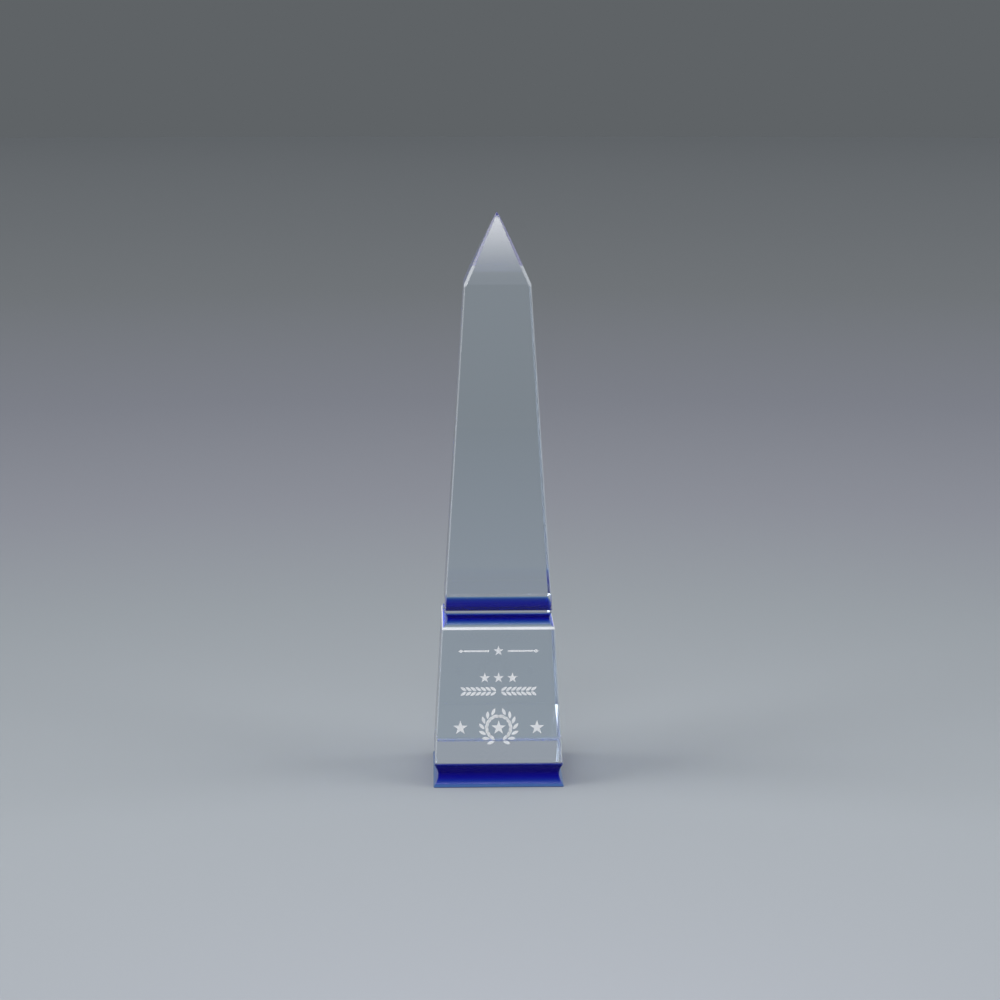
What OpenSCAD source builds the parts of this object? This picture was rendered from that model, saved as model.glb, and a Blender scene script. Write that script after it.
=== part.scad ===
// Four-sided crystal obelisk award: ground crystal blocks stacked and glued. From the bottom up they
// are a cobalt plinth, a clear engraved block, a cobalt collar, and a clear shaft with a pyramid point.
// Millimetres, +Z up, origin in the middle of the underside. The engraved face looks along -Y.

/* [Obelisk] */
// Width of the underside across the flats
base_w = 70; // [66:0.5:76]
// Width of the engraved block at its top edge
block_top_w = 60.3; // [59:0.1:62]
// Width of the shaft at its bottom edge
shaft_foot_w = 57.4; // [56:0.1:59]
// Width of the shaft where the pyramid point starts
shoulder_w = 35.3; // [30:0.1:40]
// Height at which the pyramid point starts
shoulder_z = 268.1; // [220:0.1:290]
// Height of the pyramid point
point_h = 36.9; // [25:0.1:60]
// Width of the small flat polished on the very tip
tip_flat = 0.8; // [0.8:0.1:3]

/* [Cobalt layers] */
// Thickness of the cobalt plinth at the bottom
plinth_t = 12.6; // [12.2:0.1:14]
// Height of the middle of the cobalt collar
collar_z = 90.7; // [88:0.1:100]
// Thickness of the cobalt collar
collar_t = 6.8; // [6:0.1:7]

/* [Coves] */
// Height of the hollow round the plinth, from edge to edge
plinth_cove_h = 11.4; // [9:0.1:11.6]
// Depth of the hollow round the plinth
plinth_cove_d = 2.2; // [1.5:0.1:3]
// Height of the hollow round the collar, from edge to edge
collar_cove_h = 8.4; // [8.2:0.1:9]
// Depth of the hollow round the collar
collar_cove_d = 2.2; // [1.5:0.1:3]
// How far the hollow round the collar sits below the collar's middle
collar_cove_drop = 0.2; // [0:0.05:0.3]
// Plain lip left under the hollow round the plinth
plinth_lip = 0.6; // [0.5:0.05:0.6]

/* [Ground edges] */
// Width of the narrow flat along each upright edge
edge_flat = 0.9; // [0.4:0.1:1]
// How far below the point's base its four hip flats start
hip_drop = 1.3; // [0.3:0.1:2]
// Height of the bevel above and below each hollow
cove_bevel = 0.85; // [0.4:0.05:1]
// Height of the small bevels on the plinth's lips
lip_bevel = 0.3; // [0.1:0.05:0.4]

/* [Glue] */
// Thickness of each glue film
glue_t = 0.1; // [0.05:0.01:0.2]
// How far the collar's glue films stop short of the hollow's surface
glue_inset = 0.3; // [0.1:0.1:1]
// Diameter of each glue spot under the engraved block
spot_d = 9; // [6:0.5:14]
// Distance of the glue spots from the middle, along X and Y
spot_reach = 21; // [15:0.5:24]

/* [Engraving] */
// Depth of the sandblasting
etch_depth = 0.4; // [0.2:0.1:0.8]
// Height of the middle of the rules and their star
rules_z = 74; // [70:0.5:76]
// Overall width of the rules
rules_w = 40; // [30:0.5:42]
// Height of the middle of the row of stars
stars_z = 59.5; // [58:0.1:62]
// Height of the middle of the laurel spray
spray_z = 52.3; // [48:0.1:53]
// Leaf pairs on each side of the spray
spray_pairs = 7; // [2:1:8]
// Height of the middle of the laurel wreath
wreath_z = 32.5; // [30:0.5:34]
// Radius of the ring that the wreath's leaves grow from
wreath_r = 7.4; // [6:0.1:8]
// Leaf pairs on each branch of the wreath
wreath_pairs = 7; // [4:1:8]

/* [Hidden] */
$fn = 96;

far = 200;                 // longer than anything that is cut
clear_crystal = [0.86, 0.91, 0.94, 0.45];
cobalt_crystal = [0.10, 0.13, 0.55];
clear_glue = [0.95, 0.95, 0.88, 0.6];

total_h = shoulder_z + point_h;
cove_bevel_lean = 30;      // lean of the bevels beside the collar's hollow, in degrees off upright
lip_bevel_lean = 45;       // lean of the bevels on the plinth and above it

collar_bottom = collar_z - collar_t / 2;
collar_top = collar_z + collar_t / 2;
shaft_bottom = collar_top + glue_t;
block_top = collar_bottom - glue_t;
block_bottom = plinth_t + glue_t;
collar_cove_z = collar_z - collar_cove_drop;
collar_cove_top = collar_cove_z + collar_cove_h / 2;
collar_cove_bottom = collar_cove_z - collar_cove_h / 2;
plinth_cove_z = plinth_lip + plinth_cove_h / 2;
block_edge_z = collar_cove_bottom - cove_bevel;
shaft_edge_z = collar_cove_top + cove_bevel;
hip_z = shoulder_z - hip_drop;

// Height and width of the plain obelisk at each change of taper, and the same along its corners.
sides = [[0, base_w], [block_edge_z, block_top_w], [shaft_edge_z, shaft_foot_w],
         [shoulder_z, shoulder_w], [total_h, tip_flat]];
corner_heights = [0, block_edge_z, shaft_edge_z, hip_z, total_h];

leaf_lean = 33;            // how far a leaf turns away from its branch, in degrees
leaf_start = 0.5;          // gap between the branch's line and a leaf's foot
wreath_leaf = [4.2, 1.7];  // length and width of a leaf of the wreath
spray_leaf = [3.7, 1.5];   // length and width of a leaf of the spray
spray_pitch = 2.65;        // distance between the spray's leaf pairs
branch_angles = [14, 148]; // first and last leaf pair, counted from the bottom of the wreath
wreath_star_r = 4;         // radius of the star in the wreath
side_star_r = 4;           // radius of the stars beside the wreath
side_star_x = 20.5;        // distance of those stars from the middle
row_star_r = 2.9;          // radius of the stars in the row
row_star_pitch = 7.4;      // distance between them
rules_star_r = 2.8;        // radius of the star between the rules
rule_t = 0.9;              // thickness of a rule
rule_start = 5;            // distance from the middle to where each rule starts
rule_end = [3.2, 1.8];     // width and height of the lozenge that ends each rule

// Half the width of the plain obelisk at height z.
function half_w(z) = lookup(z, sides) / 2;

// Lean of the four faces at height z, in degrees off upright.
function lean_at(z) = atan((half_w(z - 1) - half_w(z + 1)) / 2);

// Half the width between opposite upright edges, with their narrow flats ground on.
function half_diagonal(z) = half_w(z) * sqrt(2) - edge_flat / 2;

// Radius of a round hollow, or of a leaf's side, of chord h and depth d.
function arc_r(h, d) = (h * h / 4 + d * d) / (2 * d);

// ---- the whole obelisk, before it is parted into blocks ----

// A long prism along Y through the given half widths and heights, from the foot to the tip.
module wedge(levels) {
    left = [for (i = [len(levels) - 1:-1:0]) [-levels[i].x, levels[i].y]];
    rotate([90, 0, 0]) linear_extrude(far, center = true) polygon(concat(levels, left));
}

module plain_obelisk() {
    flats = [for (side = sides) [half_w(side[0]), side[0]]];
    corners = [for (z = corner_heights) [half_diagonal(z), z]];
    intersection() {
        wedge(flats);
        rotate(90) wedge(flats);
        rotate(45) wedge(corners);
        rotate(-45) wedge(corners);
    }
}

// The part of the obelisk between two heights.
module layer(z0, z1) {
    intersection() {
        plain_obelisk();
        translate([-far / 2, -far / 2, z0]) cube([far, far, z1 - z0]);
    }
}

module on_four_sides() {
    for (turn = [0:90:270]) rotate(turn) children();
}

// The round hollow that runs round all four sides, centred at height z.
module cove(z, h, d) {
    out = arc_r(h, d) - d;
    lean = lean_at(z);
    on_four_sides() translate([half_w(z) + out * cos(lean), 0, z + out * sin(lean)])
        rotate([90, 0, 0]) cylinder(r = out + d, h = far, center = true);
}

module plinth_cove() { cove(plinth_cove_z, plinth_cove_h, plinth_cove_d); }
module collar_cove() { cove(collar_cove_z, collar_cove_h, collar_cove_d); }

// Bevels all four sides above height z.
module bevel_above(z, lean) {
    on_four_sides() translate([half_w(z), 0, z]) rotate([0, -lean, 0])
        translate([0, -far / 2, 0]) cube(far);
}

// Bevels all four sides below height z.
module bevel_below(z, lean) {
    on_four_sides() translate([half_w(z), 0, z]) rotate([0, lean, 0])
        translate([0, -far / 2, -far]) cube(far);
}

// ---- engraving ----

module star(r) {
    points = [for (i = [0:9]) [90 + 36 * i, i % 2 == 0 ? r : r * 0.4]];
    polygon([for (p = points) p[1] * [cos(p[0]), sin(p[0])]]);
}

// A pointed leaf from the origin along +X.
module leaf(size) {
    r = arc_r(size.x, size.y / 2);
    translate([size.x / 2, 0]) intersection_for (side = [-1, 1])
        translate([0, side * (r - size.y / 2)]) circle(r);
}

// Two leaves that part from a branch running along +X.
module leaf_pair(size) {
    for (lean = [-leaf_lean, leaf_lean]) rotate(lean) translate([leaf_start, 0]) leaf(size);
}

module both_hands() {
    for (hand = [0, 1]) mirror([hand, 0]) children();
}

module wreath() {
    step = (branch_angles[1] - branch_angles[0]) / (wreath_pairs - 1);
    both_hands() for (i = [0:wreath_pairs - 1])
        rotate(branch_angles[0] + i * step - 90) translate([wreath_r, 0])
            rotate(90) leaf_pair(wreath_leaf);
    star(wreath_star_r);
}

module spray() {
    both_hands() for (i = [0:spray_pairs - 1])
        translate([rule_t + i * spray_pitch, 0]) leaf_pair(spray_leaf);
}

module rules() {
    star(rules_star_r);
    both_hands() {
        translate([rule_start, -rule_t / 2]) square([rules_w / 2 - rule_start, rule_t]);
        translate([rules_w / 2, 0]) polygon([[-rule_end.x / 2, 0], [0, rule_end.y / 2],
                                             [rule_end.x / 2, 0], [0, -rule_end.y / 2]]);
    }
}

module star_row() {
    for (i = [-1:1]) translate([i * row_star_pitch, 0]) star(row_star_r);
}

// Sinks a flat drawing into the front face, centred at height z.
module etch(z) {
    translate([0, -half_w(z), z]) rotate([90 - lean_at(z), 0, 0])
        translate([0, 0, -etch_depth]) linear_extrude(etch_depth + 1) children();
}

module engraving() {
    etch(rules_z) rules();
    etch(stars_z) star_row();
    etch(spray_z) spray();
    etch(wreath_z) wreath();
    etch(wreath_z) both_hands() translate([side_star_x, 0]) star(side_star_r);
}

// ---- the separate pieces ----

module shaft() {
    color(clear_crystal) difference() {
        layer(shaft_bottom, total_h);
        collar_cove();
        bevel_below(shaft_edge_z, cove_bevel_lean);
    }
}

module cobalt_collar() {
    color(cobalt_crystal) difference() {
        layer(collar_bottom, collar_top);
        collar_cove();
    }
}

module engraved_block() {
    color(clear_crystal) difference() {
        layer(block_bottom, block_top);
        collar_cove();
        bevel_above(block_edge_z, cove_bevel_lean);
        bevel_below(block_bottom + cove_bevel, lip_bevel_lean);
        engraving();
    }
}

module cobalt_plinth() {
    color(cobalt_crystal) difference() {
        layer(0, plinth_t);
        plinth_cove();
        bevel_above(plinth_t - lip_bevel, lip_bevel_lean);
        bevel_below(lip_bevel, lip_bevel_lean);
    }
}

// A glue film between two blocks, kept just inside the hollow's surface.
module glue_film(z) {
    r = arc_r(collar_cove_h, collar_cove_d);
    rise = z - collar_cove_z;
    reach = half_w(z) + r - collar_cove_d - sqrt(r * r - rise * rise) - glue_inset;
    color(clear_glue) translate([-reach, -reach, z - glue_t / 2])
        cube([2 * reach, 2 * reach, glue_t]);
}

module upper_glue_film() { glue_film(collar_top + glue_t / 2); }
module lower_glue_film() { glue_film(collar_bottom - glue_t / 2); }

module plinth_glue_spots() {
    color(clear_glue) for (x = [-spot_reach, spot_reach], y = [-spot_reach, spot_reach])
        translate([x, y, plinth_t]) cylinder(d = spot_d, h = glue_t);
}

shaft();
upper_glue_film();
cobalt_collar();
lower_glue_film();
engraved_block();
plinth_glue_spots();
cobalt_plinth();
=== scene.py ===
"""A crystal obelisk award: clear and cobalt crystal blocks, ground, polished, glued and engraved."""

import math
from collections import namedtuple

import bmesh
import bpy
from mathutils import Matrix, Vector


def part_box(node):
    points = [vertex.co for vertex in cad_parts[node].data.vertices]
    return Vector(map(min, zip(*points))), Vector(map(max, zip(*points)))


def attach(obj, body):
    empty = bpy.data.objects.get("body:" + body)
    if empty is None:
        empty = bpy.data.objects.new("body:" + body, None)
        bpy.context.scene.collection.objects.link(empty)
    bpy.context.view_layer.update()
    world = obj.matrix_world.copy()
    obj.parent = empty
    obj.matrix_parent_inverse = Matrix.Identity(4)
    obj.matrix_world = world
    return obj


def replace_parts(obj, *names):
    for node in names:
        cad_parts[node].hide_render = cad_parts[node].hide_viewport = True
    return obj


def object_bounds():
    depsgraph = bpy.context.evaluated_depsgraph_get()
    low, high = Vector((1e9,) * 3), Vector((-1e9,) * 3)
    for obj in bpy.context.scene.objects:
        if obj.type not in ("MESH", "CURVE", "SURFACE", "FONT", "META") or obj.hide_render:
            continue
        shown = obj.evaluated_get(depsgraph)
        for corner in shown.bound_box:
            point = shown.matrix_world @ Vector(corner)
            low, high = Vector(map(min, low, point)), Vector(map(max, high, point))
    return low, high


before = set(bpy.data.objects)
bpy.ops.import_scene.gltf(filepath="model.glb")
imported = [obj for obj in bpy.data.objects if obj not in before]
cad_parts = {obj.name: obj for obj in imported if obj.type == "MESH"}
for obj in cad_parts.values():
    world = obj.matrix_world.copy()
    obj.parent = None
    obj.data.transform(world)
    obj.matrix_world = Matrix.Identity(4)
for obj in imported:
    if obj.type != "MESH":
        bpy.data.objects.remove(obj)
cad_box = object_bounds()

MM = 0.001

# ---- sizes, from the frame and from the design's driving dimensions ----

collar_low, collar_high = (corner.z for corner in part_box("cobalt_collar"))
block_low, block_high = (corner.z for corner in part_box("engraved_block"))
shaft_low, tip_z = (corner.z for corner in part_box("shaft"))
plinth_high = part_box("cobalt_plinth")[1].z

TIP_HALF = 0.4 * MM
EDGE_FLAT = 0.9 * MM               # narrow flat ground along each upright edge
HIP_DROP = 1.3 * MM                # the hip flats start this far below the pyramid's base
POINT_CROWN = 0.30 * MM            # how far hand polishing leaves the pyramid's faces proud
COVE_DEPTH = 2.2 * MM
COLLAR_COVE_HEIGHT = 8.4 * MM
COLLAR_COVE_DROP = 0.2 * MM        # the collar's hollow sits this far below its middle
PLINTH_COVE_HEIGHT = 11.4 * MM
PLINTH_LIP = 0.6 * MM
COVE_BEVEL = 0.85 * MM
COVE_BEVEL_LEAN = math.radians(30)
LIP_BEVEL = 0.3 * MM
LIP_BEVEL_LEAN = math.radians(45)
RING_STEP = 0.3 * MM               # height between rings where a side is curved
SLIVER = 0.05 * MM                 # narrowest flat left where two hollows meet at a corner
CREASE = math.radians(12)          # faces that meet more sharply than this show an edge
POINT_STEPS = 16                   # rings up the pyramid

collar_cove_z = (collar_low + collar_high) / 2 - COLLAR_COVE_DROP
plinth_cove_z = PLINTH_LIP + PLINTH_COVE_HEIGHT / 2
shaft_edge_z = collar_cove_z + COLLAR_COVE_HEIGHT / 2 + COVE_BEVEL
block_edge_z = collar_cove_z - COLLAR_COVE_HEIGHT / 2 - COVE_BEVEL


def widest(node, low, high):
    """The half width of a CAD node between two heights."""
    corners = [v.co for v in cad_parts[node].data.vertices]
    return max(c.x for c in corners if low < c.z < high)


shoulder_z = max(v.co.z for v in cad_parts["shaft"].data.vertices if v.co.x > 10 * MM)

# Height and half width of the plain obelisk at each change of taper.
LEVELS = [(LIP_BEVEL, cad_box[1].x),
          (block_edge_z, widest("engraved_block", block_edge_z - 0.1 * MM, block_high)),
          (shaft_edge_z, widest("shaft", shaft_low, tip_z)),
          (shoulder_z, widest("shaft", shoulder_z - 0.1 * MM, tip_z)),
          (tip_z, TIP_HALF)]


# ---- outlines of the blocks ----

# What one grinding cut leaves: half(z) is the half width at a height, curved is True for a hollow, and
# satin is how much of the wheel's grey is left after polishing, set on bevels as painted highlight or shade.
Cut = namedtuple("Cut", "half curved satin")
EDGE_SATIN = 0.28          # the narrow flats along the upright edges
SATIN_PAINTED_HIGHLIGHT = 0.95         # bevels that look up, and the very tip: much pale satin, a painted highlight
SATIN_PAINTED_SHADE = 0.12          # bevels that look down, and the plinth's lips: little satin, painted shade
FOOT_SATIN_PAINTED_HIGHLIGHT = 0.8           # the bevel round the engraved block's foot: much pale satin, a painted highlight


def plain_half(z):
    """Half width of the plain obelisk."""
    for (z0, half0), (z1, half1) in zip(LEVELS, LEVELS[1:]):
        if z <= z1:
            break
    return half0 + (half1 - half0) * (z - z0) / (z1 - z0)


def lean_at(z):
    """How far the sides lean in from upright."""
    return math.atan((plain_half(z - MM) - plain_half(z + MM)) / (2 * MM))


def corner_sum(z):
    """|x| + |y| on the flats ground along the upright edges and up the pyramid's hips."""
    def on_edge(height):
        return 2 * plain_half(height) - EDGE_FLAT / math.sqrt(2)

    hip_z = shoulder_z - HIP_DROP
    if z <= hip_z:
        return on_edge(z)
    return on_edge(hip_z) + (on_edge(tip_z) - on_edge(hip_z)) * (z - hip_z) / (tip_z - hip_z)


def cove(middle, height):
    """A round hollow, sunk square to the leaning side."""
    radius = (height ** 2 / 4 + COVE_DEPTH ** 2) / (2 * COVE_DEPTH)
    out = radius - COVE_DEPTH
    axis_x = plain_half(middle) + out * math.cos(lean_at(middle))
    axis_z = middle + out * math.sin(lean_at(middle))

    def half(z):
        across = radius ** 2 - (z - axis_z) ** 2
        return axis_x - math.sqrt(across) if across > 0 else math.inf
    return Cut(half, True, 0.0)


def bevel(edge_z, direction, angle, satin=SATIN_PAINTED_HIGHLIGHT):
    """A bevel that starts on the side at edge_z and takes more the further it goes up (1) or down (-1)."""
    def half(z):
        run = (z - edge_z) * direction
        return plain_half(edge_z) - run * math.tan(angle) if run > 0 else math.inf
    return Cut(half, False, satin)


def outline(low, high, cuts):
    """(half width, height, satin above it) from low to high: the creases, and rings along the hollows."""
    def deepest(z):
        return min(cuts, key=lambda cut: cut.half(z))

    def crease(z0, z1):
        below = deepest(z0)
        for _ in range(30):
            middle = (z0 + z1) / 2
            if deepest(middle) is below:
                z0 = middle
            else:
                z1 = middle
        return z0

    steps = math.ceil((high - low) / RING_STEP)
    levels = [low + (high - low) * i / steps for i in range(steps + 1)]
    kept = [low]
    for z0, z1 in zip(levels, levels[1:]):
        if deepest(z0) is not deepest(z1):
            kept.append(crease(z0, z1))
        if deepest(z1).curved or z1 == high:
            kept.append(z1)
    kept = [z for i, z in enumerate(kept) if i == 0 or z - kept[i - 1] > 0.02 * MM]
    above = [(z0 + z1) / 2 for z0, z1 in zip(kept, kept[1:])] + [high]
    return [(deepest(z).half(z), z, deepest(middle).satin) for z, middle in zip(kept, above)]


sides = Cut(plain_half, False, 0.0)
collar_cove = cove(collar_cove_z, COLLAR_COVE_HEIGHT)
plinth_cove = cove(plinth_cove_z, PLINTH_COVE_HEIGHT)


# ---- block meshes ----

def ring(half, z, crown=0.0):
    """Points round one level, anticlockwise from above: two to each side, with an edge flat between."""
    half = min(half, corner_sum(z) - SLIVER)
    reach = min(corner_sum(z) - half, half - SLIVER)
    front = [Vector((across * reach, -half - crown, z)) for across in (-1, 1)]
    return [Matrix.Rotation(math.radians(90 * turn), 3, "Z") @ p for turn in range(4) for p in front]


def loft(name, rings, satins=(), top_satin=0.0):
    """A closed mesh through the rings. satins holds the finish of each stretch between two rings, and
    top_satin that of the top face; the narrow flats at the corners are satin too."""
    made = bmesh.new()
    satin = made.faces.layers.float.new("satin")
    rows = [[made.verts.new(p) for p in points] for points in rings]
    count = len(rows[0])
    for level, (lower, upper) in enumerate(zip(rows, rows[1:])):
        for i in range(count):
            j = (i + 1) % count
            face = made.faces.new((lower[i], lower[j], upper[j], upper[i]))
            if satins:
                at_corner = j % (count // 4) == 0
                face[satin] = max(satins[level], EDGE_SATIN if at_corner else 0.0)
    made.faces.new(rows[0][::-1])
    made.faces.new(rows[-1])[satin] = top_satin
    made.normal_update()
    for face in made.faces:
        face.smooth = True
    for edge in made.edges:
        edge.smooth = edge.calc_face_angle() < CREASE
    mesh = bpy.data.meshes.new(name)
    made.to_mesh(mesh)
    made.free()
    piece = bpy.data.objects.new(name, mesh)
    bpy.context.scene.collection.objects.link(piece)
    return piece


def make_shaft():
    cuts = [sides, collar_cove, bevel(shaft_edge_z, -1, COVE_BEVEL_LEAN, SATIN_PAINTED_SHADE)]
    rows = outline(shaft_low, shoulder_z - HIP_DROP, cuts)
    rings = [ring(half, z) for half, z, _ in rows]
    for i in range(POINT_STEPS + 1):
        rise = i / POINT_STEPS
        z = shoulder_z + (tip_z - shoulder_z) * rise
        crown = POINT_CROWN * 4 * rise * (1 - rise)
        rings.append(ring(plain_half(z), z, crown))
    return loft("clear_shaft", rings, [row[2] for row in rows] + [0.0] * POINT_STEPS, SATIN_PAINTED_HIGHLIGHT)


def block_loft(name, rows):
    return loft(name, [ring(half, z) for half, z, _ in rows], [row[2] for row in rows])


def make_collar():
    rows = outline(collar_low, collar_high, [sides, collar_cove])
    return block_loft("cobalt_collar_plate", rows)


def make_block():
    cuts = [sides, collar_cove, plinth_cove, bevel(block_edge_z, 1, COVE_BEVEL_LEAN),
            bevel(block_low + COVE_BEVEL, -1, LIP_BEVEL_LEAN, FOOT_SATIN_PAINTED_HIGHLIGHT)]
    rows = outline(block_low, block_high, cuts)
    return block_loft("clear_engraved_block", rows)


def make_plinth():
    cuts = [sides, plinth_cove, bevel(LIP_BEVEL, -1, LIP_BEVEL_LEAN, SATIN_PAINTED_SHADE),
            bevel(plinth_high - LIP_BEVEL, 1, LIP_BEVEL_LEAN, SATIN_PAINTED_SHADE)]
    rows = outline(0, plinth_high, cuts)
    return block_loft("cobalt_plinth_plate", rows)


# ---- engraving ----

ETCH_STAND = 0.03 * MM     # the frosted skin's back stands this far off the polished face
ETCH_SKIN = 0.05 * MM      # and is this thick
LEAF_LEAN = math.radians(33)
LEAF_START = 0.5 * MM
SPRAY_PAIRS = 7
WREATH_PAIRS = 7


def star_outline(radius):
    """Five points, with the notches at four tenths of the radius."""
    reach = [(math.pi / 2 + math.pi / 5 * i, radius * (1 if i % 2 == 0 else 0.4)) for i in range(10)]
    return [Vector((r * math.cos(a), r * math.sin(a))) for a, r in reach]


def leaf_outline(length, width):
    """Two arcs from the foot at the origin to the tip along +X."""
    steps = 8
    radius = (length ** 2 / 4 + width ** 2 / 4) / width
    sweep = math.asin(length / 2 / radius)
    arc = []
    for i in range(steps):
        angle = sweep * (2 * i / steps - 1)
        arc.append(Vector((length / 2 + radius * math.sin(angle),
                           -radius * (math.cos(angle) - math.cos(sweep)))))
    return arc + [Vector((length - p.x, -p.y)) for p in arc]


def bar_outline(start, end, thickness):
    return [Vector((start, -thickness / 2)), Vector((end, -thickness / 2)),
            Vector((end, thickness / 2)), Vector((start, thickness / 2))]


def lozenge_outline(width, height):
    return [Vector((-width / 2, 0)), Vector((0, -height / 2)), Vector((width / 2, 0)),
            Vector((0, height / 2))]


def turned(points, angle):
    return [Matrix.Rotation(angle, 2) @ p for p in points]


def moved(points, x, y=0.0):
    return [p + Vector((x, y)) for p in points]


def both_hands(shapes):
    """The shapes and their mirror images, which keep their points anticlockwise."""
    return shapes + [[Vector((-p.x, p.y)) for p in reversed(points)] for points in shapes]


def leaf_pair(length, width):
    leaf = moved(leaf_outline(length, width), LEAF_START)
    return [turned(leaf, LEAF_LEAN), turned(leaf, -LEAF_LEAN)]


def rules():
    bar = bar_outline(5 * MM, 18.4 * MM, 0.9 * MM)
    end = moved(lozenge_outline(3.2 * MM, 1.8 * MM), 20 * MM)
    return [star_outline(2.8 * MM)] + both_hands([bar, end])


def star_row():
    return [moved(star_outline(2.9 * MM), x * 7.4 * MM) for x in (-1, 0, 1)]


def spray():
    right = [moved(leaf, 0.9 * MM + i * 2.65 * MM) for i in range(SPRAY_PAIRS)
             for leaf in leaf_pair(3.7 * MM, 1.5 * MM)]
    return both_hands(right)


def wreath():
    leaves = []
    first, last = math.radians(14), math.radians(148)
    for i in range(WREATH_PAIRS):
        angle = first + (last - first) * i / (WREATH_PAIRS - 1) - math.pi / 2
        for leaf in leaf_pair(4.2 * MM, 1.7 * MM):
            leaves.append(turned(moved(turned(leaf, math.pi / 2), 7.4 * MM), angle))
    return [star_outline(4 * MM)] + both_hands(leaves)


def side_stars():
    return [moved(star_outline(4 * MM), x * 20.5 * MM) for x in (-1, 1)]


def etched(name, shapes, z):
    """Thin frosted skins on the leaning front face, centred at height z."""
    lean = lean_at(z)
    right = Vector((1, 0, 0))
    up = Vector((0, math.sin(lean), math.cos(lean)))
    out = Vector((0, -math.cos(lean), math.sin(lean)))
    middle = Vector((0, -plain_half(z), z)) + out * ETCH_STAND
    made = bmesh.new()
    for points in shapes:
        back = [made.verts.new(middle + right * p.x + up * p.y) for p in points]
        front = [made.verts.new(v.co + out * ETCH_SKIN) for v in back]
        made.faces.new(back[::-1])
        made.faces.new(front)
        for i in range(len(points)):
            j = (i + 1) % len(points)
            made.faces.new((back[i], back[j], front[j], front[i]))
    mesh = bpy.data.meshes.new(name)
    made.to_mesh(mesh)
    made.free()
    piece = bpy.data.objects.new(name, mesh)
    bpy.context.scene.collection.objects.link(piece)
    return piece


# ---- glue ----

GLUE_INSET = 0.3 * MM
GLUE_GAP = 0.03 * MM       # the film's faces stand this far off the crystal
GLUE_RIM_SINK = 0.15 * MM  # how far the rim is drawn in, half way up
GLUE_CORNER = 0.8 * MM     # what is cut off each corner of a film
GLUE_LEVELS = 4
SPOT_RADIUS = 4.5 * MM
SPOT_WAIST = 0.1 * MM      # how much narrower a spot is half way up
SPOT_SIDES = 32


def glue_film(name, low, high):
    """A square film between two blocks, its rim rounded in where the glue shrank as it set."""
    rings = []
    thickness = high - low - 2 * GLUE_GAP
    for i in range(GLUE_LEVELS + 1):
        level = i / GLUE_LEVELS
        z = low + GLUE_GAP + thickness * level
        sink = GLUE_RIM_SINK * 4 * level * (1 - level)
        half = collar_cove.half(z) - GLUE_INSET - sink
        corner = half - GLUE_CORNER
        front = [Vector((-corner, -half, z)), Vector((corner, -half, z))]
        rings.append([Matrix.Rotation(math.radians(90 * turn), 3, "Z") @ p
                      for turn in range(4) for p in front])
    return loft(name, rings)


def glue_spots(name):
    """Four round spots of glue, squeezed flat under the engraved block."""
    low, high = plinth_high + GLUE_GAP, block_low - GLUE_GAP
    lo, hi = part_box("plinth_glue_spots")
    made = bmesh.new()
    levels = ((low, SPOT_RADIUS), ((low + high) / 2, SPOT_RADIUS - SPOT_WAIST), (high, SPOT_RADIUS))
    for x in (lo.x + SPOT_RADIUS, hi.x - SPOT_RADIUS):
        for y in (lo.y + SPOT_RADIUS, hi.y - SPOT_RADIUS):
            rows = []
            for z, radius in levels:
                rows.append([made.verts.new((x + radius * math.cos(math.tau * i / SPOT_SIDES),
                                             y + radius * math.sin(math.tau * i / SPOT_SIDES), z))
                             for i in range(SPOT_SIDES)])
            for lower, upper in zip(rows, rows[1:]):
                for i in range(SPOT_SIDES):
                    j = (i + 1) % SPOT_SIDES
                    made.faces.new((lower[i], lower[j], upper[j], upper[i]))
            made.faces.new(rows[0][::-1])
            made.faces.new(rows[-1])
    mesh = bpy.data.meshes.new(name)
    made.to_mesh(mesh)
    made.free()
    piece = bpy.data.objects.new(name, mesh)
    bpy.context.scene.collection.objects.link(piece)
    return piece


# ---- materials ----

def linear(hex_colour):
    """An sRGB hex colour as linear RGBA."""
    levels = [int(hex_colour[i:i + 2], 16) / 255 for i in (1, 3, 5)]
    return (*[c / 12.92 if c <= 0.04045 else ((c + 0.055) / 1.055) ** 2.4 for c in levels], 1.0)


def add(tree, kind, settings=None, **inputs):
    """Adds a node. settings are its properties, and inputs are socket values or links, by name or number."""
    node = tree.nodes.new(kind)
    for name, value in (settings or {}).items():
        setattr(node, name, value)
    for name, value in inputs.items():
        key = int(name[1:]) if name[0] == "_" and name[1:].isdigit() else name.replace("_", " ")
        if isinstance(value, bpy.types.NodeSocket):
            tree.links.new(value, node.inputs[key])
        else:
            node.inputs[key].default_value = value
    return node


def new_material(name):
    material = bpy.data.materials.new(name)
    material.use_nodes = True
    material.node_tree.nodes.clear()
    return material, material.node_tree


def close(tree, surface, volume=None):
    output = add(tree, "ShaderNodeOutputMaterial", Surface=surface)
    if volume:
        tree.links.new(volume, output.inputs["Volume"])


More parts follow.
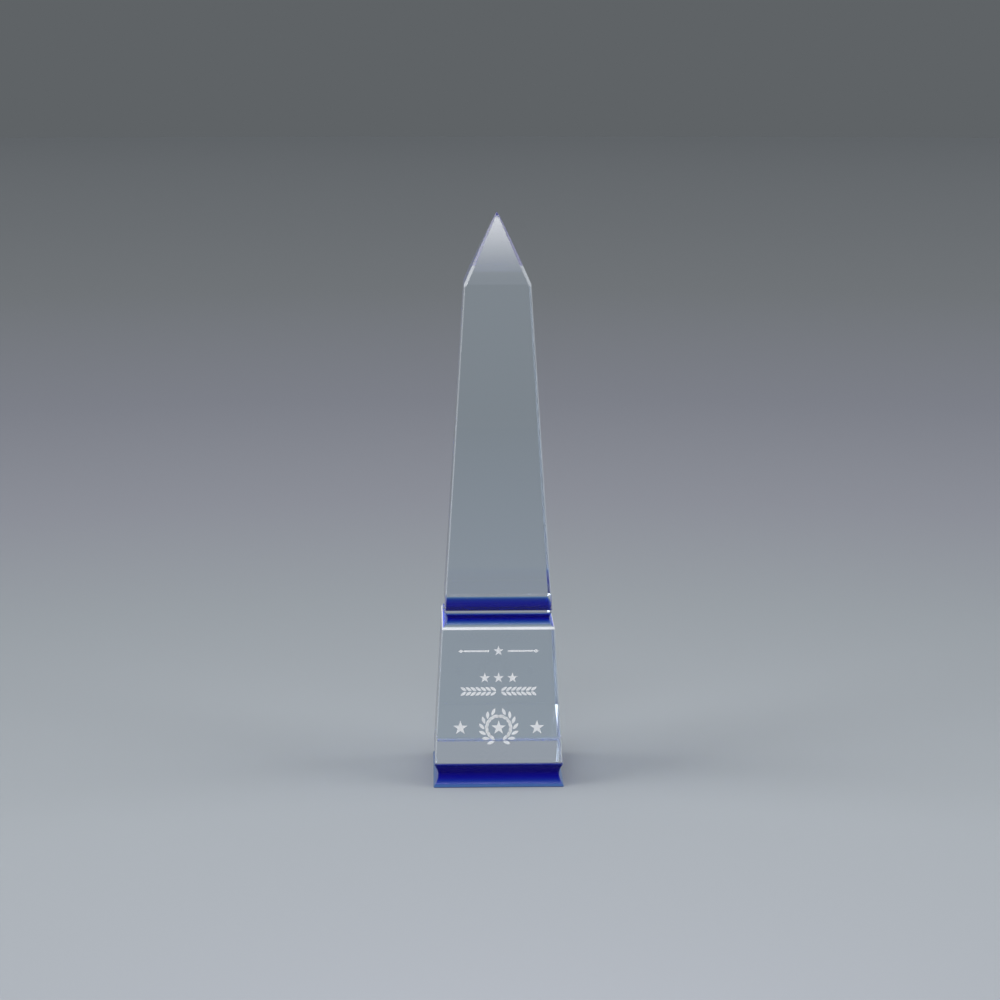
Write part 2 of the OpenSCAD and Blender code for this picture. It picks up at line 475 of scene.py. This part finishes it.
def polished_crystal(name, absorbed, density, haze, ground, mirror):
    """Optical crystal, ground and pitch polished: dead clear, with faint polishing haze and a slow
    ripple left by the lap. Bevels and narrow edge flats keep some of the wheel's satin, which draws
    every edge as a pale line; on the bevels its amount is painted highlight where they look up and at the
    engraved block's foot, and painted shade where they look down. Glued faces let light straight through,
    because the glue has the crystal's own refractive index, and so does the ground underside, which shows
    the table's painted glow instead of mirroring. mirror tints what the surface reflects."""
    material, tree = new_material(name)
    place = add(tree, "ShaderNodeTexCoord").outputs["Object"]
    lap = add(tree, "ShaderNodeTexNoise", Vector=place, Scale=1 / (18 * MM), Detail=1.0)
    wipe = add(tree, "ShaderNodeTexNoise", Vector=place, Scale=1 / (6 * MM), Detail=4.0)
    rough = add(tree, "ShaderNodeMapRange", Value=wipe.outputs["Fac"], _1=0.45, _2=0.75,
                _3=haze - 0.02, _4=haze)
    ripple = add(tree, "ShaderNodeBump", Height=lap.outputs["Fac"], Strength=0.012, Distance=0.2 * MM)
    glass = add(tree, "ShaderNodeBsdfPrincipled", Base_Color=linear("#fbfefd"), IOR=1.52,
                Transmission_Weight=1.0, Specular_Tint=linear(mirror),
                Roughness=rough.outputs["Result"], Normal=ripple.outputs["Normal"])
    # real wheel marks are about 0.05 mm apart, drawn at 0.4 mm to show
    marks = add(tree, "ShaderNodeTexNoise", Vector=place, Scale=1 / (0.4 * MM), Detail=2.0)
    worn = add(tree, "ShaderNodeMapRange", Value=marks.outputs["Fac"], _1=0.3, _2=0.7, _3=0.8, _4=1.0)
    # the satin left on each face; on the bevels it is a painted highlight or painted shade
    left = add(tree, "ShaderNodeAttribute", {"attribute_name": "satin"})
    satin = add(tree, "ShaderNodeMath", {"operation": "MULTIPLY"}, _0=left.outputs["Fac"],
                _1=worn.outputs["Result"])
    grey = add(tree, "ShaderNodeBsdfPrincipled", Base_Color=linear(ground), Roughness=0.5, IOR=1.52)
    cut = add(tree, "ShaderNodeMixShader", Fac=satin.outputs["Value"], _1=glass.outputs["BSDF"],
              _2=grey.outputs["BSDF"])
    through = add(tree, "ShaderNodeBsdfTransparent")
    height = add(tree, "ShaderNodeSeparateXYZ", Vector=place).outputs["Z"]
    facing = add(tree, "ShaderNodeSeparateXYZ",
                 Vector=add(tree, "ShaderNodeNewGeometry").outputs["True Normal"]).outputs["Z"]
    level = add(tree, "ShaderNodeMath", {"operation": "ABSOLUTE"}, _0=facing)
    flat = add(tree, "ShaderNodeMath", {"operation": "GREATER_THAN"}, _0=level.outputs["Value"], _1=0.99)
    near = add(tree, "ShaderNodeMath", {"operation": "COMPARE"}, _0=height,
               _1=(block_high + shaft_low) / 2, _2=(shaft_low - block_high) / 2 + 0.05 * MM)
    under = add(tree, "ShaderNodeMath", {"operation": "LESS_THAN"}, _0=height, _1=0.05 * MM)
    either = add(tree, "ShaderNodeMath", {"operation": "MAXIMUM"}, _0=near.outputs["Value"],
                 _1=under.outputs["Value"])
    bonded = add(tree, "ShaderNodeMath", {"operation": "MULTIPLY"}, _0=flat.outputs["Value"],
                 _1=either.outputs["Value"])
    surface = add(tree, "ShaderNodeMixShader", Fac=bonded.outputs["Value"], _1=cut.outputs["Shader"],
                  _2=through.outputs["BSDF"])
    body = add(tree, "ShaderNodeVolumeAbsorption", Color=absorbed, Density=density)
    close(tree, surface.outputs["Shader"], body.outputs["Volume"])
    return material


def sandblasted_crystal():
    """Crystal cut by grit: dead white, matt, and grainy where each grain chipped it."""
    material, tree = new_material("sandblasted_crystal")
    place = add(tree, "ShaderNodeTexCoord").outputs["Object"]
    # real grit pits are about 0.1 mm across, drawn at 0.3 mm to show
    grit = add(tree, "ShaderNodeTexNoise", Vector=place, Scale=1 / (0.3 * MM), Detail=3.0)
    cloud = add(tree, "ShaderNodeTexNoise", Vector=place, Scale=1 / (5 * MM), Detail=2.0)
    both = add(tree, "ShaderNodeMath", {"operation": "ADD"}, _0=grit.outputs["Fac"],
               _1=cloud.outputs["Fac"])
    tone = add(tree, "ShaderNodeMapRange", Value=both.outputs["Value"], _1=0.6, _2=1.4)
    colour = add(tree, "ShaderNodeMix", {"data_type": "RGBA"}, Factor=tone.outputs["Result"],
                 _6=linear("#eef2f8"), _7=linear("#ffffff"))
    pits = add(tree, "ShaderNodeBump", Height=grit.outputs["Fac"], Strength=0.4, Distance=0.05 * MM)
    frost = add(tree, "ShaderNodeBsdfPrincipled", Base_Color=colour.outputs[2], IOR=1.52,
                Roughness=0.85, Normal=pits.outputs["Normal"])
    close(tree, frost.outputs["BSDF"])
    return material


def cured_glue():
    """Clear acrylic adhesive cured by ultraviolet light: unseen but for a few pin-head bubbles."""
    material, tree = new_material("cured_clear_glue")
    place = add(tree, "ShaderNodeTexCoord").outputs["Object"]
    cells = add(tree, "ShaderNodeTexVoronoi", Vector=place, Scale=1 / (3 * MM))
    bubble = add(tree, "ShaderNodeMapRange", Value=cells.outputs["Distance"], _1=0.05, _2=0.07, _3=0.6,
                 _4=0.0)
    clear = add(tree, "ShaderNodeBsdfTransparent", Color=linear("#fdfefc"))
    skin = add(tree, "ShaderNodeBsdfPrincipled", Base_Color=linear("#e6ecf2"), Roughness=0.3, IOR=1.48)
    surface = add(tree, "ShaderNodeMixShader", Fac=bubble.outputs["Result"], _1=clear.outputs["BSDF"],
                  _2=skin.outputs["BSDF"])
    close(tree, surface.outputs["Shader"])
    return material


def finish_with(piece, material):
    piece.data.materials.clear()
    piece.data.materials.append(material)
    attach(piece, "root")
    return piece


# ---- the award ----

clear = polished_crystal("polished_clear_crystal", (0.56, 0.74, 1.0, 1.0), 5.0, 0.02, "#eef1f5", "#ffffff")
cobalt = polished_crystal("polished_cobalt_crystal", (0.0, 0.444, 0.953, 1.0), 400.0, 0.26, "#7f9fd8",
                          "#a892dd")
frosted = sandblasted_crystal()
glue = cured_glue()

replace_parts(finish_with(make_shaft(), clear), "shaft")
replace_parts(finish_with(make_collar(), cobalt), "cobalt_collar")
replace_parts(finish_with(make_block(), clear), "engraved_block")
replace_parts(finish_with(make_plinth(), cobalt), "cobalt_plinth")
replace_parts(finish_with(glue_film("upper_glue", collar_high, shaft_low), glue),
            "upper_glue_film")
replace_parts(finish_with(glue_film("lower_glue", block_high, collar_low), glue),
            "lower_glue_film")
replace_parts(finish_with(glue_spots("glue_spots"), glue), "plinth_glue_spots")

ENGRAVING = (("etched_rules", rules, 74.0), ("etched_star_row", star_row, 59.5),
             ("etched_laurel_spray", spray, 52.3), ("etched_wreath", wreath, 32.5),
             ("etched_side_stars", side_stars, 32.5))
for name, shapes, height in ENGRAVING:
    finish_with(etched(name, shapes(), height * MM), frosted)


# ---- the studio ----

def ramp(color_ramp, stops):
    """Fills a colour ramp with (position, linear colour) stops."""
    while len(color_ramp.elements) > 1:
        color_ramp.elements.remove(color_ramp.elements[-1])
    color_ramp.elements[0].position = stops[0][0]
    color_ramp.elements[0].color = stops[0][1]
    for position, colour in stops[1:]:
        color_ramp.elements.new(position).color = colour


FLOOR_DROP = 0.1 * MM      # an air film this thick is left under the award, as under any hard foot
FLOOR_GAIN = 0.93          # the floor's reflectance over the tone that it shows under the studio's light
FLOOR_REACH = 14.0
# painted light and shade: the paper's colour is lighter near the award and darker far behind it, by distance
# in metres
PAINTED_FLOOR_FALLOFF = ((0.16, "#b4b9c0"), (0.5, "#aab0b5"), (0.65, "#a4aaaf"), (0.94, "#989ea3"),
               (1.37, "#8b8e96"), (2.06, "#7c7f87"), (3.57, "#6f7376"), (5.5, "#696d70"),
               (FLOOR_REACH, "#5f6366"))
# the painted glow that the paper gives off to every ray but the camera's, by distance in metres
PAINTED_GLOW_STOPS = ((0.55, "#989ea3"), (0.95, "#90959b"), (1.2, "#888d93"), (1.45, "#82878c"))
PAINTED_UNDER_FOOT_GLOW = "#5c7899"     # a painted glow under the foot: a dim blue tone standing in for light that reaches the paper only through the cobalt plinth
NEAREST, FURTHEST = -1.0, 1.2      # powers of ten of the distances that the floor's tones span, in metres


def make_floor():
    """A broad round table top of pale paper, with painted light near the award and painted shade falling off
    far behind it, and a painted glow of its own for every ray but the camera's.
    """
    made = bmesh.new()
    bmesh.ops.create_circle(made, cap_ends=True, segments=96, radius=FLOOR_REACH)
    bmesh.ops.translate(made, verts=made.verts, vec=(0, 0, -FLOOR_DROP))
    mesh = bpy.data.meshes.new("floor")
    made.to_mesh(mesh)
    made.free()
    floor = bpy.data.objects.new("floor", mesh)
    bpy.context.scene.collection.objects.link(floor)
    material, tree = new_material("pale_paper")
    place = add(tree, "ShaderNodeTexCoord").outputs["Object"]
    # distance from the middle of the painted pool of light
    from_painted_pool = add(tree, "ShaderNodeVectorMath", {"operation": "DISTANCE"}, _0=place, _1=(0, -0.5, 0))
    log_distance = add(tree, "ShaderNodeMath", {"operation": "LOGARITHM"},
                       _0=from_painted_pool.outputs["Value"], _1=10.0)
    along = add(tree, "ShaderNodeMapRange", Value=log_distance.outputs["Value"], _1=NEAREST, _2=FURTHEST)

    def tones(stops):
        shades = add(tree, "ShaderNodeValToRGB", Fac=along.outputs["Result"])
        ramp(shades.color_ramp, [((math.log10(d) - NEAREST) / (FURTHEST - NEAREST), linear(shade))
                                 for d, shade in stops])
        return shades.outputs["Color"]

    # the painted pool of light and the shade round it, as the paper's colour
    reflectance = add(tree, "ShaderNodeVectorMath", {"operation": "SCALE"}, _0=tones(PAINTED_FLOOR_FALLOFF),
                      Scale=FLOOR_GAIN)
    paper = add(tree, "ShaderNodeBsdfDiffuse", Color=reflectance.outputs["Vector"])
    # painted glow: to every ray but the camera's the paper gives off light of its own, standing in for the
    # light that reaches it through the crystal, which would otherwise come out as a hard shadow
    sideways = add(tree, "ShaderNodeVectorMath", {"operation": "ABSOLUTE"}, _0=place)
    offset = add(tree, "ShaderNodeSeparateXYZ", Vector=sideways.outputs["Vector"])
    furthest = add(tree, "ShaderNodeMath", {"operation": "MAXIMUM"}, _0=offset.outputs["X"],
                   _1=offset.outputs["Y"])
    # under the award's foot the painted glow is the dim blue tone
    under_foot_glow_mask = add(tree, "ShaderNodeMath", {"operation": "LESS_THAN"}, _0=furthest.outputs["Value"],
                     _1=cad_box[1].x)
    painted_glow_tone = add(tree, "ShaderNodeMix", {"data_type": "RGBA"}, Factor=under_foot_glow_mask.outputs["Value"],
               _6=tones(PAINTED_GLOW_STOPS), _7=linear(PAINTED_UNDER_FOOT_GLOW))
    painted_glow = add(tree, "ShaderNodeEmission", Color=painted_glow_tone.outputs[2])
    path = add(tree, "ShaderNodeLightPath")
    surface = add(tree, "ShaderNodeMixShader", Fac=path.outputs["Is Camera Ray"],
                  _1=painted_glow.outputs["Emission"], _2=paper.outputs["BSDF"])
    close(tree, surface.outputs["Shader"])
    floor.data.materials.append(material)


# Softboxes: lowest and highest elevation, feathered edge, azimuth of the middle and width, all in
# degrees, then brightness. Azimuth runs from straight in front to the right.
KEY = (42.4, 58, 9, -8, 46, 10.0)
PANELS = ((2, 64, 14, -80, 70, 3.2), (2, 64, 14, 80, 70, 2.2))


def make_sky():
    """Soft studio light from all round: dim near the horizon and straight overhead, with a key softbox
    high in front and a tall light panel on each side, the left one stronger."""
    world = bpy.data.worlds.new("studio")
    world.use_nodes = True
    tree = world.node_tree
    tree.nodes.clear()
    direction = add(tree, "ShaderNodeTexCoord").outputs["Generated"]
    parts = add(tree, "ShaderNodeSeparateXYZ", Vector=direction)
    elevation = add(tree, "ShaderNodeMath", {"operation": "ARCSINE"}, _0=parts.outputs["Z"])
    height = add(tree, "ShaderNodeMapRange", Value=elevation.outputs["Value"], _1=0.0,
                 _2=math.pi / 2)
    around = add(tree, "ShaderNodeValToRGB", Fac=height.outputs["Result"])
    ramp(around.color_ramp, [(0.0, (0.30, 0.31, 0.33, 1)), (0.2, (0.36, 0.37, 0.39, 1)),
                             (0.45, (0.5, 0.5, 0.52, 1)), (0.62, (0.45, 0.45, 0.47, 1)),
                             (0.75, (0.3, 0.3, 0.31, 1)), (1.0, (0.24, 0.24, 0.25, 1))])
    azimuth = add(tree, "ShaderNodeMath", {"operation": "ARCTAN2"}, _0=parts.outputs["X"],
                  _1=add(tree, "ShaderNodeMath", {"operation": "MULTIPLY"}, _0=parts.outputs["Y"],
                         _1=-1.0).outputs["Value"])

    def softbox(low, high, feather, centre, width, level):
        """A feathered patch of sky between two elevations, round an azimuth."""
        lower = add(tree, "ShaderNodeMapRange", {"interpolation_type": "SMOOTHSTEP"},
                    Value=elevation.outputs["Value"], _1=math.radians(low),
                    _2=math.radians(low + feather))
        upper = add(tree, "ShaderNodeMapRange", {"interpolation_type": "SMOOTHSTEP"},
                    Value=elevation.outputs["Value"], _1=math.radians(high - feather),
                    _2=math.radians(high), _3=1.0, _4=0.0)
        offset = add(tree, "ShaderNodeMath", {"operation": "SUBTRACT"}, _0=azimuth.outputs["Value"],
                     _1=math.radians(centre))
        apart = add(tree, "ShaderNodeMath", {"operation": "ABSOLUTE"}, _0=offset.outputs["Value"])
        beside = add(tree, "ShaderNodeMapRange", {"interpolation_type": "SMOOTHSTEP"},
                     Value=apart.outputs["Value"], _1=math.radians(width / 2 - feather),
                     _2=math.radians(width / 2), _3=level, _4=0.0)
        both = add(tree, "ShaderNodeMath", {"operation": "MULTIPLY"}, _0=lower.outputs["Result"],
                   _1=upper.outputs["Result"])
        return add(tree, "ShaderNodeMath", {"operation": "MULTIPLY"}, _0=both.outputs["Value"],
                   _1=beside.outputs["Result"]).outputs["Value"]

    boxes = softbox(*KEY)
    for panel in PANELS:
        boxes = add(tree, "ShaderNodeMath", {"operation": "ADD"}, _0=boxes,
                    _1=softbox(*panel)).outputs["Value"]
    lit = add(tree, "ShaderNodeMix", {"data_type": "RGBA", "blend_type": "ADD"}, Factor=1.0,
              _6=around.outputs["Color"], _7=boxes)
    studio = add(tree, "ShaderNodeBackground", Color=lit.outputs[2])
    backdrop = add(tree, "ShaderNodeBackground", Color=linear("#5f6366"))
    path = add(tree, "ShaderNodeLightPath")
    surface = add(tree, "ShaderNodeMixShader", Fac=path.outputs["Is Camera Ray"],
                  _1=studio.outputs["Background"], _2=backdrop.outputs["Background"])
    add(tree, "ShaderNodeOutputWorld", Surface=surface.outputs["Shader"])
    bpy.context.scene.world = world


def make_camera():
    """Eye a little above the tip, 1.3 m in front and slightly to the left, with a long lens."""
    turn = math.radians(-1.6)
    distance, height, offset = 1.310, 0.3768, 1.63 * MM
    data = bpy.data.cameras.new("camera")
    data.lens = 88.66
    data.sensor_width = 36.0
    data.clip_end = 100.0
    camera = bpy.data.objects.new("camera", data)
    bpy.context.scene.collection.objects.link(camera)
    camera.location = Matrix.Rotation(turn, 3, "Z") @ Vector((offset, -distance, height))
    camera.rotation_euler = (math.radians(90 - 9.808), 0, turn)
    bpy.context.scene.camera = camera


make_floor()
make_sky()
make_camera()

scene = bpy.context.scene
scene.view_settings.view_transform = "Standard"
# light crosses many crystal faces, and turns back at most of them, before it gets out
CRYSTAL_BOUNCES = 32
scene.cycles.max_bounces = CRYSTAL_BOUNCES
scene.cycles.transmission_bounces = CRYSTAL_BOUNCES
scene.cycles.transparent_max_bounces = CRYSTAL_BOUNCES
scene.cycles.glossy_bounces = 16
